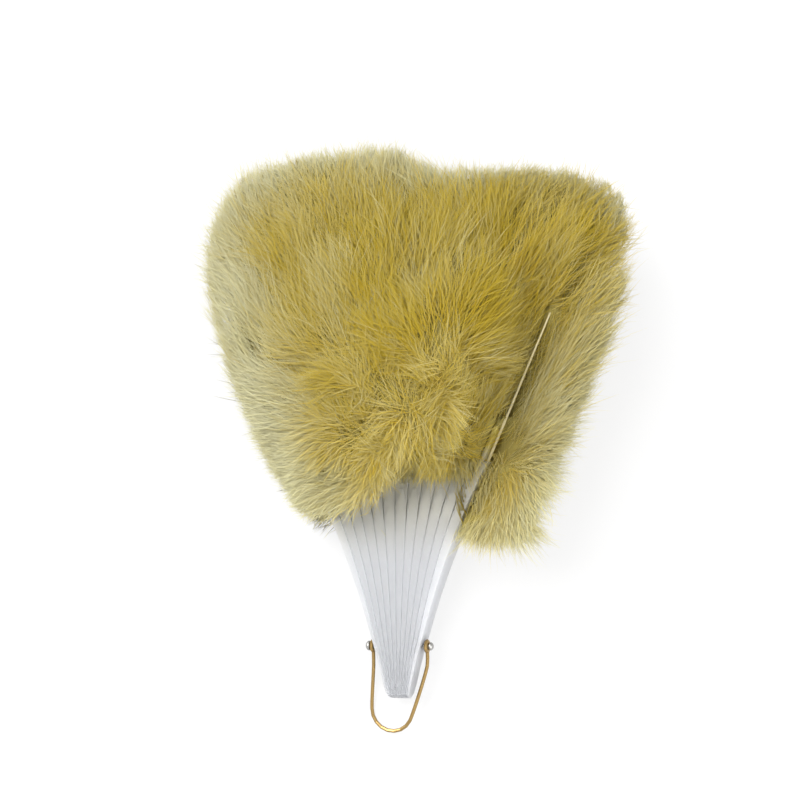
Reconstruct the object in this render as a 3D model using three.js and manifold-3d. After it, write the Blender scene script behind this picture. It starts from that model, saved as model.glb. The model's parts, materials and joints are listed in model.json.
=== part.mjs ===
// Folding feather fan, closed and lying on a table. Moulded staves turn on one pin, each
// carries a quill with a downy plume, and a wire bail swings from the two ends of the pin.
// Millimetres. The fan is drawn in its own frame, X along the pin, Y along the staves and Z across
// their width, with the pin at the origin. It is then rolled and tilted as it lies on the table.
import * as THREE from 'three';
import { mergeVertices } from 'three/addons/utils/BufferGeometryUtils.js';
import Module from 'manifold-3d';

// Staves
const STAVE_COUNT = 12;
const STAVE_TAIL = 24; // pin to the lower end
const STAVE_TOP = 105; // pin to the upper end, inside the down
const SHOULDER = 74; // pin to the widest place
const SHOULDER_RUN = 12; // length over which the shoulder narrows to the tongue
const TAIL_HALF_WIDTH = 4.4;
const SHOULDER_HALF_WIDTH = 7.4;
const TONGUE_HALF_WIDTH = 4.2;
const END_FLAT = 0.5; // half width left flat at each end
const TAIL_THICKNESS = 0.5;
const PIN_THICKNESS = 1.2;
const TONGUE_THICKNESS = 1.8;
const BLOCK_END = 66; // up to here the staves fill the stack, and above it they thin to the tongue
const BLOCK_RUN = 8; // length over which they thin
const TAIL_PLAY = 0.4; // between neighbours at the lower end
const PIN_PLAY = 0.75; // between neighbours at the pin
const OUTER_SPLAY = 24.2; // degrees that the outer staves lean out, once bent by the down
const BEND_END = 70; // pin to the place where the bend is complete
const THREAD_HOLE_RADIUS = 0.7;
const THREAD_HOLE_PLACE = 66; // pin to the hole of the linking thread
const HUB_REACH = 6; // round the pin, where the faces of the staves go over from tail to blade

// Pin, its cap and the bail
const PIN_RADIUS = 1.2;
const PIN_CLEARANCE = 0.3;
const PIN_HEAD_RADIUS = 1.9;
const PIN_HEAD_LENGTH = 1.6;
const PIN_CROWN_RADIUS = 1.1; // flat on top of the rounded head
const CAP_WALL = 0.8;
const BAIL_WIRE_RADIUS = 0.9;
const BAIL_LENGTH = 40; // pin to the middle of the wire at the bottom of the loop
const BAIL_BEND_RADIUS = 10.2;
const BAIL_STRAIGHT = 8; // pin to the place where the arms start to lean in
const BAIL_SKEW = 5; // the hand-bent loop hangs this far to the left of the middle
const BAIL_PLAY = 0.5; // beside the eyes

// Quills and down
const QUILL_START = 75;
const QUILL_END = 188;
const QUILL_BASE_RADIUS = 0.8;
const QUILL_TIP_RADIUS = 0.3;
const SEAT = 0.4; // between glued pieces
const LEAF_MIN = 0.8; // thinnest leaf of down between two staves
const DOWN_START = 53; // pin to the lower edge of the outer down, along the table
const INNER_DOWN_START = 76; // pin to the lower edge of the down between staves
const DOWN_TOP = 238; // pin to the upper edge of the down
const LEFT_SPREAD = 41.2; // degrees to the left at the lower edge
const RIGHT_SPREAD = 38; // degrees to the right
const DOWN_SHIFT = 4; // the down lies this far to the right of the staves
const LEFT_REACH = 32; // the left lobe reaches this much further up
const LEFT_POWER = 0.75; // below 1 it does so from the parting on
const RIGHT_SINK = 10; // the right lobe ends this much lower beside the parting
const SINK_START = 0.1; // share of the spread at which it is lowest
const SINK_END = 0.54; // share of the spread at which it is level again
const RIGHT_FLARE = 16; // the right lobe stands out this much further at its lower edge
const RIGHT_DROP = 5; // and hangs this much lower
const FLARE_POWER = 5; // how fast the flare dies out upwards
const DOWN_ABOVE = 48; // depth of the down over the plane of the quills
const DOWN_BELOW = 60; // depth under that plane, before the table flattens it
const RIM_RISE = 6; // rim of the down over the plane of the quills
const RIM_LOW = 10; // rim over the table, where the quills lie low
const RIM_HIGH = 44; // rim over the table, where the quills stand high
const SIDE_POWER = 3.5; // how late the sides of the down close in
const LEFT_CORNER_POWER = 0.39; // how round its upper left corner is
const RIGHT_CORNER_POWER = 0.21; // and its upper right corner
const CORNER_SHARE = 0.993; // below 1 its upper edge is not drawn to a point
const LOWER_OPENING = 2; // how soon it has its full spread above the lower edge
const SWELL_PLACE = 0.75; // below 1 it is deepest nearer the staves
const SWELL_POWER = 0.7; // below 1 its ends are fuller
const TUFT_DEPTH = 2.6;
const TUFT_ROWS = 9;
const TUFT_COLUMNS = 11;
const PARTING_PLACE = 5; // the parting on top, to the right of the pin's middle
const PARTING_HALF_WIDTH = 9;
const PARTING_DEPTH = 7;
const PARTING_START = 130; // pin to the place where the parting begins
const PARTING_RUN = 50; // length over which it deepens
const VALLEY_SHARE = 0.88; // of its height, that the down sinks over the last quill
const LOBE_SHARE = 0.4; // of its height, that the right lobe sinks beyond that quill
const VALLEY_SLOPE = 34; // width of the slope to the left of the quill
const LOBE_SLOPE = 24; // width of the slope to its right
const VALLEY_START = 62; // pin to the lower end of the valley
const VALLEY_END = 178; // pin to its upper end
const VALLEY_RUN = 40; // length over which each end deepens

// How the fan lies
const ROLL = 20; // degrees, right end of the pin up
const TILT = 6; // degrees, feather end up

// Fineness of the facets
const BLOCK_STEPS = 10;
const TONGUE_STEPS = 7;
const HOLE_SIDES = 18;
const EYE_STEPS = 14;
const WIRE_SIDES = 8;
const WIRE_STEPS = 26;
const BEND_POINTS = 10;
const QUILL_SIDES = 6;
const DOWN_RINGS = 20;
const DOWN_SIDES = 40;
const LEAF_SEGMENTS = 48;
const LEAF_STEPS = 9;
const WELD = 1e-4;
const STEP_CROWDING = 1.7; // above 1 the stations of a stave crowd towards its round ends
const REST_HALVINGS = 24;

const STAVE_LOOK = { color: 0xdcdfe4, roughness: 0.35, metalness: 0 };
const QUILL_LOOK = { color: 0xd8cf9c, roughness: 0.5, metalness: 0 };
const DOWN_LOOK = { color: 0xb09e52, roughness: 0.95, metalness: 0 };
const PIN_LOOK = { color: 0x9a9a98, roughness: 0.35, metalness: 0.9 };
const WIRE_LOOK = { color: 0xc2a56e, roughness: 0.3, metalness: 0.9 };

const wasm = await Module();
wasm.setup();

const lerp = THREE.MathUtils.lerp;
const smoothstep = THREE.MathUtils.smoothstep;
const clamp = THREE.MathUtils.clamp;
const radians = THREE.MathUtils.degToRad;

// A closed geometry as a solid that can be cut and joined.
function toSolid(geometry) {
  const bare = geometry.clone();
  bare.deleteAttribute('normal');
  bare.deleteAttribute('uv');
  const welded = mergeVertices(bare, WELD);
  return new wasm.Manifold(new wasm.Mesh({
    numProp: 3,
    vertProperties: new Float32Array(welded.attributes.position.array),
    triVerts: new Uint32Array(welded.index.array),
  }));
}

// A cut or joined solid as a geometry again.
function toGeometry(solid) {
  const mesh = solid.getMesh();
  const geometry = new THREE.BufferGeometry();
  geometry.setAttribute('position', new THREE.BufferAttribute(mesh.vertProperties, mesh.numProp));
  geometry.setIndex(new THREE.BufferAttribute(mesh.triVerts, 1));
  geometry.computeVertexNormals();
  return geometry;
}

// Moves every vertex of a geometry by a rule that changes the point it is given.
function reshape(geometry, rule) {
  const place = geometry.attributes.position;
  const point = new THREE.Vector3();
  for (let index = 0; index < place.count; index += 1) {
    rule(point.fromBufferAttribute(place, index));
    place.setXYZ(index, point.x, point.y, point.z);
  }
  return geometry;
}

// A solid of revolution about the pin, from [radius, place along the pin] pairs.
function aboutPin(profile, sides) {
  const points = profile.map(([radius, along]) => new THREE.Vector2(radius, along));
  return new THREE.LatheGeometry(points, sides).rotateZ(-Math.PI / 2);
}

// The stack of staves: pitch at the pin and at the lower end, and the lean that joins the two.
const middle = (STAVE_COUNT - 1) / 2;
const pinHalfStack = middle * (PIN_THICKNESS + PIN_PLAY);
const tailHalfStack = middle * (TAIL_THICKNESS + TAIL_PLAY);
const pinSplay = (pinHalfStack - tailHalfStack) / STAVE_TAIL;
const outerSplay = Math.tan(radians(OUTER_SPLAY));

// Distance of the outermost stave from the middle of the fan, at a distance along the staves.
function halfStack(along) {
  const bent = clamp(along, 0, BEND_END);
  const bend = bent * bent / (2 * BEND_END) + Math.max(along - BEND_END, 0);
  return pinHalfStack + pinSplay * along + (outerSplay - pinSplay) * bend;
}

// Place along the pin of a numbered stave's middle.
function staveX(number, along) {
  return halfStack(along) * (number - middle) / middle;
}

// The staves fill the stack but for the play, so the closed fan has a handle like one block.
function staveThickness(along) {
  const play = lerp(PIN_PLAY, TAIL_PLAY, clamp(-along / STAVE_TAIL, 0, 1));
  const block = halfStack(along) / middle - play;
  return lerp(block, TONGUE_THICKNESS, smoothstep(along, BLOCK_END, BLOCK_END + BLOCK_RUN));
}

// Distance from the pin, below 0 towards the tail. The faces of the staves follow it, so that they
// keep their play when they turn about the pin.
function signedReach(along, across) {
  return along * Math.sqrt(1 + across ** 2 / (along ** 2 + HUB_REACH ** 2));
}

// Half width allowed by a round end, at a distance from its tip.
function roundEnd(fromTip, radius) {
  const short = radius - fromTip;
  return short > 0 ? Math.sqrt(Math.max(radius ** 2 - short ** 2, 0)) : Infinity;
}

// Half width of a stave: straight taper to the shoulder, then a tongue, with both ends round.
function staveHalfWidth(along) {
  const taper = (along + STAVE_TAIL) / (SHOULDER + STAVE_TAIL);
  const blade = lerp(TAIL_HALF_WIDTH, SHOULDER_HALF_WIDTH, Math.min(taper, 1));
  const tongue = smoothstep(along, SHOULDER, SHOULDER + SHOULDER_RUN);
  const straight = lerp(blade, TONGUE_HALF_WIDTH, tongue);
  const tailEnd = roundEnd(along + STAVE_TAIL, TAIL_HALF_WIDTH);
  const topEnd = roundEnd(STAVE_TOP - along, TONGUE_HALF_WIDTH);
  return Math.max(END_FLAT, Math.min(straight, tailEnd, topEnd));
}

// A round hole through the stack, along the pin's direction.
function holeThroughStack(radius, along, sides) {
  const drillLength = 4 * halfStack(STAVE_TOP);
  const drill = new THREE.CylinderGeometry(radius, radius, drillLength, sides).rotateZ(Math.PI / 2);
  return toSolid(drill.translate(0, along, 0));
}

const pinHole = holeThroughStack(PIN_RADIUS + PIN_CLEARANCE, 0, HOLE_SIDES);
const threadHole = holeThroughStack(THREAD_HOLE_RADIUS, THREAD_HOLE_PLACE, WIRE_SIDES);

// Stations along a stave: they crowd towards its round ends, and meet both ends of the thinning.
const stations = [];
for (let step = 0; step <= BLOCK_STEPS; step += 1) {
  stations.push(lerp(-STAVE_TAIL, BLOCK_END, (step / BLOCK_STEPS) ** STEP_CROWDING));
}
for (let step = TONGUE_STEPS; step >= 0; step -= 1) {
  stations.push(lerp(STAVE_TOP, BLOCK_END + BLOCK_RUN, (step / TONGUE_STEPS) ** STEP_CROWDING));
}

// A flat strip bent to its place in the stack.
function staveGeometry(number) {
  const steps = stations.length - 1;
  const strip = reshape(new THREE.BoxGeometry(1, 1, 1, 1, steps, 2), (point) => {
    const along = stations[Math.round((point.y + 0.5) * steps)];
    const across = 2 * point.z * staveHalfWidth(along);
    const reach = signedReach(along, across);
    point.set(staveX(number, reach) + point.x * staveThickness(reach), along, across);
  });
  return toGeometry(toSolid(strip).subtract(pinHole).subtract(threadHole));
}

// A tapered shaft glued along the right face of its stave and running on into the plume.
const quillSide = TONGUE_THICKNESS / 2 + SEAT + QUILL_BASE_RADIUS;

function quillGeometry(number) {
  const shaft = new THREE.CylinderGeometry(QUILL_TIP_RADIUS, QUILL_BASE_RADIUS, 1, QUILL_SIDES, 1);
  return reshape(shaft, (point) => {
    const along = lerp(QUILL_START, QUILL_END, point.y + 0.5);
    point.set(staveX(number, along) + quillSide + point.x, along, point.z);
  });
}

// The posture of the fan on the table, with the lowest edge of the first stave at Z = 0.
const turn = new THREE.Matrix4().makeRotationX(radians(TILT));
turn.multiply(new THREE.Matrix4().makeRotationY(-radians(ROLL)));

function lowestPoint(geometry, matrix) {
  return new THREE.Box3().setFromBufferAttribute(
    geometry.clone().applyMatrix4(matrix).attributes.position).min.z;
}

const pinHeight = -lowestPoint(staveGeometry(0), turn);
const posture = new THREE.Matrix4().makeTranslation(0, 0, pinHeight).multiply(turn);

// How far the down sinks at a place over the table: a parting up its middle, and a broad valley with
// the last quill lying at its bottom, at a height over the plane of the quills.
function hollows(across, ahead, height) {
  const parting = Math.exp(-(((across - PARTING_PLACE) / PARTING_HALF_WIDTH) ** 2))
    * smoothstep(ahead, PARTING_START, PARTING_START + PARTING_RUN);
  const quill = (halfStack(ahead) + quillSide) * Math.cos(radians(ROLL));
  const bottom = lerp(VALLEY_SHARE, LOBE_SHARE, smoothstep(across, quill, quill + LOBE_SLOPE));
  const valley = bottom * smoothstep(across, quill - VALLEY_SLOPE, quill)
    * smoothstep(ahead, VALLEY_START, VALLEY_START + VALLEY_RUN)
    * smoothstep(-ahead, -VALLEY_END, VALLEY_RUN - VALLEY_END);
  return PARTING_DEPTH * parting + Math.max(0, height) * valley;
}

// The whole mass of down over the table: a blunt wedge that opens away from the pin, flat underneath
// and tufted on top, with its rim along the plane of the quills. A unit sphere is carried onto it.
function downMass() {
  const ball = new THREE.SphereGeometry(1, DOWN_SIDES, DOWN_RINGS);
  const climb = Math.tan(radians(TILT));
  const slope = Math.tan(radians(ROLL));
  reshape(ball, (point) => {
    const polar = Math.acos(clamp(-point.y, -1, 1));
    const share = polar / Math.PI;
    const ring = Math.hypot(point.x, point.z) || 1;
    const side = point.x / ring;
    const up = point.z / ring;
    const reach = lerp(DOWN_START, DOWN_TOP, share);
    const left = side < 0;
    const corner = left ? LEFT_CORNER_POWER : RIGHT_CORNER_POWER;
    const blunt = (1 - CORNER_SHARE * (reach / DOWN_TOP) ** SIDE_POWER) ** corner;
    const spread = side * blunt * Math.min(1, LOWER_OPENING * Math.sqrt(Math.sin(polar)));
    const angle = radians(left ? LEFT_SPREAD : RIGHT_SPREAD) * spread;
    const flare = Math.max(0, spread) * (1 - share) ** FLARE_POWER;
    const across = DOWN_SHIFT + reach * Math.sin(angle) + RIGHT_FLARE * flare;
    const sunk = smoothstep(spread, 0, SINK_START) * Math.max(0, 1 - spread / SINK_END);
    const lobe = left ? LEFT_REACH * (-spread) ** LEFT_POWER : -RIGHT_SINK * sunk;
    const ahead = share * lobe - RIGHT_DROP * flare + reach * lerp(Math.cos(angle), 1, share * share);
    const quillPlane = pinHeight + climb * ahead + slope * across;
    const rim = clamp(quillPlane + RIM_RISE, RIM_LOW, RIM_HIGH);
    const swell = Math.sin(Math.PI * share ** SWELL_PLACE) ** SWELL_POWER;
    const tuft = TUFT_DEPTH * Math.cos(TUFT_COLUMNS * side) * Math.cos(TUFT_ROWS * polar);
    const depth = (up > 0 ? DOWN_ABOVE : DOWN_BELOW) + tuft;
    const full = rim + up * swell * depth;
    const cut = up > 0 ? hollows(across, ahead, full - quillPlane) : 0;
    point.set(across, ahead, Math.max(0, full - cut));
  });
  return toSolid(ball.applyMatrix4(posture.clone().invert()));
}

// A leaf of down is the slice of that mass between two surfaces that are round about the pin, so
// leaves slide past each other when the fan opens. The two outer leaves reach past the mass.
const down = downMass();
const farOut = 2 * DOWN_TOP;
const leafLeft = quillSide + QUILL_BASE_RADIUS + SEAT;
const leafRight = TONGUE_THICKNESS / 2 + SEAT;

function leafStart() {
  let radius = INNER_DOWN_START;
  while (halfStack(radius) / middle < leafLeft + leafRight + LEAF_MIN) {
    radius += LEAF_MIN;
  }
  return radius;
}

function leafGeometry(number) {
  const first = number < 0;
  const last = number === STAVE_COUNT - 1;
  const start = first || last ? STAVE_TAIL : leafStart();
  const left = [];
  const right = [];
  const radii = [BLOCK_END, BLOCK_END + BLOCK_RUN].filter((radius) => radius > start);
  for (let step = 0; step <= LEAF_STEPS; step += 1) {
    radii.push(lerp(start, farOut, (step / LEAF_STEPS) ** 2));
  }
  for (const radius of radii.sort((near, far) => near - far)) {
    const besideStave = staveThickness(radius) / 2 + SEAT;
    left.push([radius, first ? -farOut : staveX(number, radius) + Math.max(leafLeft, besideStave)]);
    right.push([radius, last ? farOut : staveX(number + 1, radius) - besideStave]);
  }
  const loop = [...left, ...right.reverse(), left[0]];
  return toGeometry(toSolid(aboutPin(loop, LEAF_SEGMENTS)).intersect(down));
}

// The pin has a rounded head outside the right eye of the bail, and a closed cap outside the left.
const eyeRing = PIN_RADIUS + PIN_CLEARANCE + BAIL_WIRE_RADIUS;
const eyeReach = eyeRing + BAIL_WIRE_RADIUS;
const eyePlace = halfStack(eyeReach) + staveThickness(eyeReach) / 2 + BAIL_PLAY + BAIL_WIRE_RADIUS;
const headPlace = eyePlace + BAIL_WIRE_RADIUS + BAIL_PLAY;

function pinGeometry() {
  return aboutPin([
    [0, -headPlace - PIN_HEAD_LENGTH / 2],
    [PIN_RADIUS, -headPlace - PIN_HEAD_LENGTH / 2],
    [PIN_RADIUS, headPlace],
    [PIN_HEAD_RADIUS, headPlace],
    [PIN_HEAD_RADIUS, headPlace + PIN_HEAD_LENGTH / 2],
    [PIN_CROWN_RADIUS, headPlace + PIN_HEAD_LENGTH],
    [0, headPlace + PIN_HEAD_LENGTH],
  ], HOLE_SIDES);
}

function capGeometry() {
  const bore = PIN_RADIUS + PIN_CLEARANCE;
  const floor = -headPlace - PIN_HEAD_LENGTH / 2 - PIN_CLEARANCE;
  return aboutPin([
    [0, floor - CAP_WALL],
    [bore, floor - CAP_WALL],
    [bore + CAP_WALL, floor],
    [bore + CAP_WALL, -headPlace],
    [bore, -headPlace],
    [bore, floor],
    [0, floor],
  ], HOLE_SIDES);
}

// Where a leaning arm from its straight start meets the round bottom of the loop, as an angle.
function tangentAngle(armX, bendX, bendY, outward) {
  const away = new THREE.Vector2(armX - bendX, -BAIL_STRAIGHT - bendY);
  return away.angle() + outward * Math.acos(BAIL_BEND_RADIUS / away.length());
}

// One length of wire: a closed eye, an arm, a round bottom, an arm and the other eye.
function bailGeometry() {
  const bendX = -BAIL_SKEW;
  const bendY = BAIL_BEND_RADIUS - BAIL_LENGTH;
  const from = tangentAngle(eyePlace, bendX, bendY, -1);
  const to = tangentAngle(-eyePlace, bendX, bendY, 1) - 2 * Math.PI;
  const arm = (place) => [eyeRing, (eyeRing + BAIL_STRAIGHT) / 2, BAIL_STRAIGHT]
    .map((below) => new THREE.Vector3(place, -below, 0));
  const route = arm(eyePlace);
  for (let step = 0; step <= BEND_POINTS; step += 1) {
    const angle = lerp(from, to, step / BEND_POINTS);
    const across = bendX + BAIL_BEND_RADIUS * Math.cos(angle);
    route.push(new THREE.Vector3(across, bendY + BAIL_BEND_RADIUS * Math.sin(angle), 0));
  }
  route.push(...arm(-eyePlace).reverse());
  const section = new THREE.Shape().absarc(0, 0, BAIL_WIRE_RADIUS, 0, 2 * Math.PI);
  let bail = toSolid(new THREE.ExtrudeGeometry(section, {
    curveSegments: WIRE_SIDES / 2,
    steps: WIRE_STEPS,
    extrudePath: new THREE.CatmullRomCurve3(route, false, 'centripetal'),
  }));
  for (const place of [eyePlace, -eyePlace]) {
    const eye = new THREE.TorusGeometry(eyeRing, BAIL_WIRE_RADIUS, WIRE_SIDES, EYE_STEPS);
    bail = bail.add(toSolid(eye.rotateY(Math.PI / 2).translate(place, 0, 0)));
  }
  return toGeometry(bail);
}

// The bail drops about the pin until its wire meets the table.
function bailAtRest() {
  const wire = bailGeometry();
  let drop = -Math.PI / 2;
  let high = Math.PI / 2;
  for (let halving = 0; halving < REST_HALVINGS; halving += 1) {
    const half = (drop + high) / 2;
    const swing = new THREE.Matrix4().makeRotationX(half);
    const clear = lowestPoint(wire, posture.clone().multiply(swing)) > 0;
    drop = clear ? half : drop;
    high = clear ? high : half;
  }
  return wire.rotateX(drop);
}

// The assembly
const pinFrame = new THREE.Group();
pinFrame.applyMatrix4(posture);

function add(name, geometry, look) {
  const mesh = new THREE.Mesh(geometry, new THREE.MeshStandardMaterial(look));
  mesh.name = name;
  pinFrame.add(mesh);
}

add('plume_outer', leafGeometry(-1), DOWN_LOOK);
for (let number = 0; number < STAVE_COUNT; number += 1) {
  const label = String(number + 1).padStart(2, '0');
  add(`stave_${label}`, staveGeometry(number), STAVE_LOOK);
  add(`quill_${label}`, quillGeometry(number), QUILL_LOOK);
  add(`plume_${label}`, leafGeometry(number), DOWN_LOOK);
}
add('pivot_pin', pinGeometry(), PIN_LOOK);
add('pin_cap', capGeometry(), PIN_LOOK);
add('wire_bail', bailAtRest(), WIRE_LOOK);

// The origin is under the middle of the fan, on the table.
const fan = new THREE.Group();
fan.add(pinFrame);
fan.updateMatrixWorld(true);
const box = new THREE.Box3().setFromObject(fan, true);
fan.position.set(-(box.min.x + box.max.x) / 2, -(box.min.y + box.max.y) / 2, -box.min.z);

export default fan;
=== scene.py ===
"""Folding feather fan, closed and lying on a table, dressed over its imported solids. Metres, +Z up."""
import json

import bpy
import numpy as np
from mathutils import Matrix, Vector


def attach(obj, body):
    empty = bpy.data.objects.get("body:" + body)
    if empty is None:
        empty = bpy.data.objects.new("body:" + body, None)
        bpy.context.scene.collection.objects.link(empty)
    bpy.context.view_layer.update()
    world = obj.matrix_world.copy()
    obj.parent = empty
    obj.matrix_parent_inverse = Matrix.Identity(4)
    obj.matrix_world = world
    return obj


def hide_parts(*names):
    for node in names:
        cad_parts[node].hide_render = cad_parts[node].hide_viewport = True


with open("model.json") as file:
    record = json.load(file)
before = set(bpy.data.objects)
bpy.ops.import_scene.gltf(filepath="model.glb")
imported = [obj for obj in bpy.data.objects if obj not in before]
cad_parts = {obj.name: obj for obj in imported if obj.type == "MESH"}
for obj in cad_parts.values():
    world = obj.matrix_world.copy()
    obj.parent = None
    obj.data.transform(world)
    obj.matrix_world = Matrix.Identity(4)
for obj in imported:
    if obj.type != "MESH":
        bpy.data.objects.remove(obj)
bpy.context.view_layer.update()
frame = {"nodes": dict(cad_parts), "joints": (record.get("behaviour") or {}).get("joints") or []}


# Staves. Thin strips moulded in milky plastic, a guard at each side and the inner ones between them.
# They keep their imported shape, a hair thicker and with their edges broken as a mould breaks them, and
# they all turn on one pin.
MM = 0.001
STAVES = 12


class Tone:
    """A socket of one node tree. Operators on it add Math nodes, and node() adds any other node."""

    def __init__(self, tree, socket=None):
        self.tree = tree
        self.socket = socket

    def node(self, kind, settings=None, inputs=None, out=0):
        made = self.tree.nodes.new(kind)
        for name, value in (settings or {}).items():
            setattr(made, name, value)
        for key, value in (inputs or {}).items():
            if isinstance(value, Tone):
                self.tree.links.new(value.socket, made.inputs[key])
            else:
                made.inputs[key].default_value = value
        return Tone(self.tree, made.outputs[out] if len(made.outputs) else None)

    def math(self, operation, first, second):
        return self.node("ShaderNodeMath", {"operation": operation}, {0: first, 1: second})

    def __add__(self, other):
        return self.math("ADD", self, other)

    def __sub__(self, other):
        return self.math("SUBTRACT", self, other)

    def __rsub__(self, other):
        return self.math("SUBTRACT", other, self)

    def __mul__(self, other):
        return self.math("MULTIPLY", self, other)

    __radd__ = __add__
    __rmul__ = __mul__


def new_finish(name):
    """An empty material, and the Tone that adds nodes to it."""
    material = bpy.data.materials.new(name)
    material.use_nodes = True
    material.node_tree.nodes.clear()
    return material, Tone(material.node_tree)


def mix_colours(tone, share, first, second):
    """Colour that goes from first to second as share goes from 0 to 1."""
    inputs = {0: share, 6: first, 7: second}
    return tone.node("ShaderNodeMix", {"data_type": "RGBA"}, inputs, out=2)


def milky_plastic():
    """Bluish white plastic with faint flow marks, which lets some light through. It turns faintly yellow
    on the upper half of the blades, towards the down, and gold on the tongues inside the down."""
    material, tone = new_finish("milky_plastic")
    place = tone.node("ShaderNodeTexCoord", out=3)
    cloud = tone.node("ShaderNodeTexNoise", inputs={"Vector": place, "Scale": 70.0, "Detail": 3.0})
    drawn = tone.node("ShaderNodeMapping", inputs={"Vector": place, "Scale": (900.0, 40.0, 900.0)})
    marks = tone.node("ShaderNodeTexNoise", inputs={"Vector": drawn, "Scale": 1.0, "Detail": 2.0})
    along = tone.node("ShaderNodeSeparateXYZ", inputs={0: place}, out=1)
    tinge = tone.node("ShaderNodeMapRange", {"interpolation_type": "SMOOTHSTEP"},
                      {"Value": along, "From Min": -66 * MM, "From Max": -26 * MM})
    tongue_gold = tone.node("ShaderNodeMapRange", {"interpolation_type": "SMOOTHSTEP"},
                       {"Value": along, "From Min": -20 * MM, "From Max": -8 * MM})
    colour = mix_colours(tone, cloud, (0.72, 0.73, 0.75, 1), (0.77, 0.77, 0.78, 1))
    colour = mix_colours(tone, tinge, colour, (0.72, 0.69, 0.56, 1))
    colour = mix_colours(tone, tongue_gold, colour, (0.72, 0.56, 0.14, 1))
    bump = tone.node("ShaderNodeBump", inputs={"Height": marks, "Strength": 0.12, "Distance": 0.1 * MM})
    gloss = tone.node("ShaderNodeBsdfPrincipled", inputs={
        "Base Color": colour, "Roughness": 0.28 + cloud * 0.16, "Normal": bump, "IOR": 1.49,
        "Subsurface Weight": 1.0, "Subsurface Radius": (1.0, 1.0, 1.0), "Subsurface Scale": 8 * MM})
    through = tone.node("ShaderNodeBsdfTranslucent", inputs={"Color": (0.90, 0.91, 0.93, 1)})
    clear = 0.5 - 0.1 * tinge - 0.4 * tongue_gold
    mixed = tone.node("ShaderNodeMixShader", inputs={0: clear, 1: gloss, 2: through})
    tone.node("ShaderNodeOutputMaterial", inputs={"Surface": mixed})
    return material


WELD_REACH = 0.001 * MM
SHARP_ANGLE = np.radians(38)


def dress_solid(node, material, edge, swell=0):
    """A solid that keeps its shape: welded, swollen where asked, its edges broken, and a new finish."""
    weld = node.modifiers.new("weld", "WELD")
    weld.merge_threshold = WELD_REACH
    if swell:
        displace = node.modifiers.new("swell", "DISPLACE")
        displace.strength = swell
        displace.mid_level = 0
    bevel = node.modifiers.new("edge", "BEVEL")
    bevel.width = edge
    bevel.segments = 2
    bevel.limit_method = "ANGLE"
    bevel.angle_limit = SHARP_ANGLE
    node.material_slots[0].material = material


BLADE_EDGE = 0.18 * MM
BLADE_SWELL = 0.15 * MM
stave_plastic = milky_plastic()
labels = [f"{number:02d}" for number in range(1, STAVES + 1)]
for label in labels:
    on_table = label == labels[0]
    swell = 0 if on_table else BLADE_SWELL
    dress_solid(frame["nodes"][f"stave_{label}"], stave_plastic, BLADE_EDGE, swell)


# Quills. The shafts of the feathers, pale horn that tapers to a hair, one glued along the tongue of
# each stave and lost in the down above it. Only the last one shows, on top of the down.
TILT = np.radians(6)
ROLL = np.radians(20)
opening = next(joint for joint in frame["joints"] if joint["name"] == "fan_open")
pin = np.array(opening["pos_m"])
along_pin = np.array(opening["axis"])
along_staves = np.array((0, np.cos(TILT), np.sin(TILT)))
across_staves = np.cross(along_pin, along_staves)
bodies = ["first_blade"] + [f"blade_{label}" for label in labels[1:]]

MIDDLE = (STAVES - 1) / 2
PIN_PITCH = 1.95 * MM
PIN_SPLAY = 0.240625
OUTER_SPLAY = np.tan(np.radians(24.2))
BEND_END = 70 * MM
QUILL_SIDE = 2.1 * MM


def half_stack(reach):
    """Distance of a guard from the middle: straight behind the pin, then a parabola, then straight."""
    bent = np.clip(reach, 0, BEND_END)
    bend = bent * bent / (2 * BEND_END) + np.maximum(reach - BEND_END, 0)
    return MIDDLE * PIN_PITCH + PIN_SPLAY * reach + (OUTER_SPLAY - PIN_SPLAY) * bend


def stave_place(number, reach):
    """Place along the pin of a numbered stave at a distance from the pin, counted from 0."""
    return half_stack(reach) * (number - MIDDLE) / MIDDLE


def stack_number(points):
    """Which stave a point lies at, counted from 0, with the shares of the way to the next one."""
    offset = points - pin
    reach = np.hypot(offset @ along_staves, offset @ across_staves)
    return (offset @ along_pin) / half_stack(reach) * MIDDLE + MIDDLE


def from_pin(x, y, z):
    """Points given along the pin, along the staves and across them, in the frame of the table."""
    return pin + x[..., None] * along_pin + y[..., None] * along_staves + z[..., None] * across_staves


def mesh_piece(name, points, faces, material, body, slot, uv=None, normals=None, smoothed=True):
    """An object from points and triangles, riding on a body, with a map and normals where given."""
    mesh = bpy.data.meshes.new(name)
    count, corners = faces.shape
    mesh.vertices.add(len(points))
    mesh.vertices.foreach_set("co", points.astype(np.float32).ravel())
    mesh.loops.add(count * corners)
    mesh.loops.foreach_set("vertex_index", faces.astype(np.int32).ravel())
    mesh.polygons.add(count)
    mesh.polygons.foreach_set("loop_start", np.arange(0, count * corners, corners, dtype=np.int32))
    mesh.polygons.foreach_set("use_smooth", np.full(count, smoothed))
    if uv is not None:
        layer = mesh.uv_layers.new(name="OFBake")
        layer.data.foreach_set("uv", uv[faces.ravel()].astype(np.float32).ravel())
    if normals is not None:
        shading = mesh.attributes.new("custom_normal", "FLOAT_VECTOR", "POINT")
        shading.data.foreach_set("vector", normals.astype(np.float32).ravel())
    mesh.materials.append(material)
    mesh.update()
    piece = bpy.data.objects.new(name, mesh)
    bpy.context.collection.objects.link(piece)
    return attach(piece, body)


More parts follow.
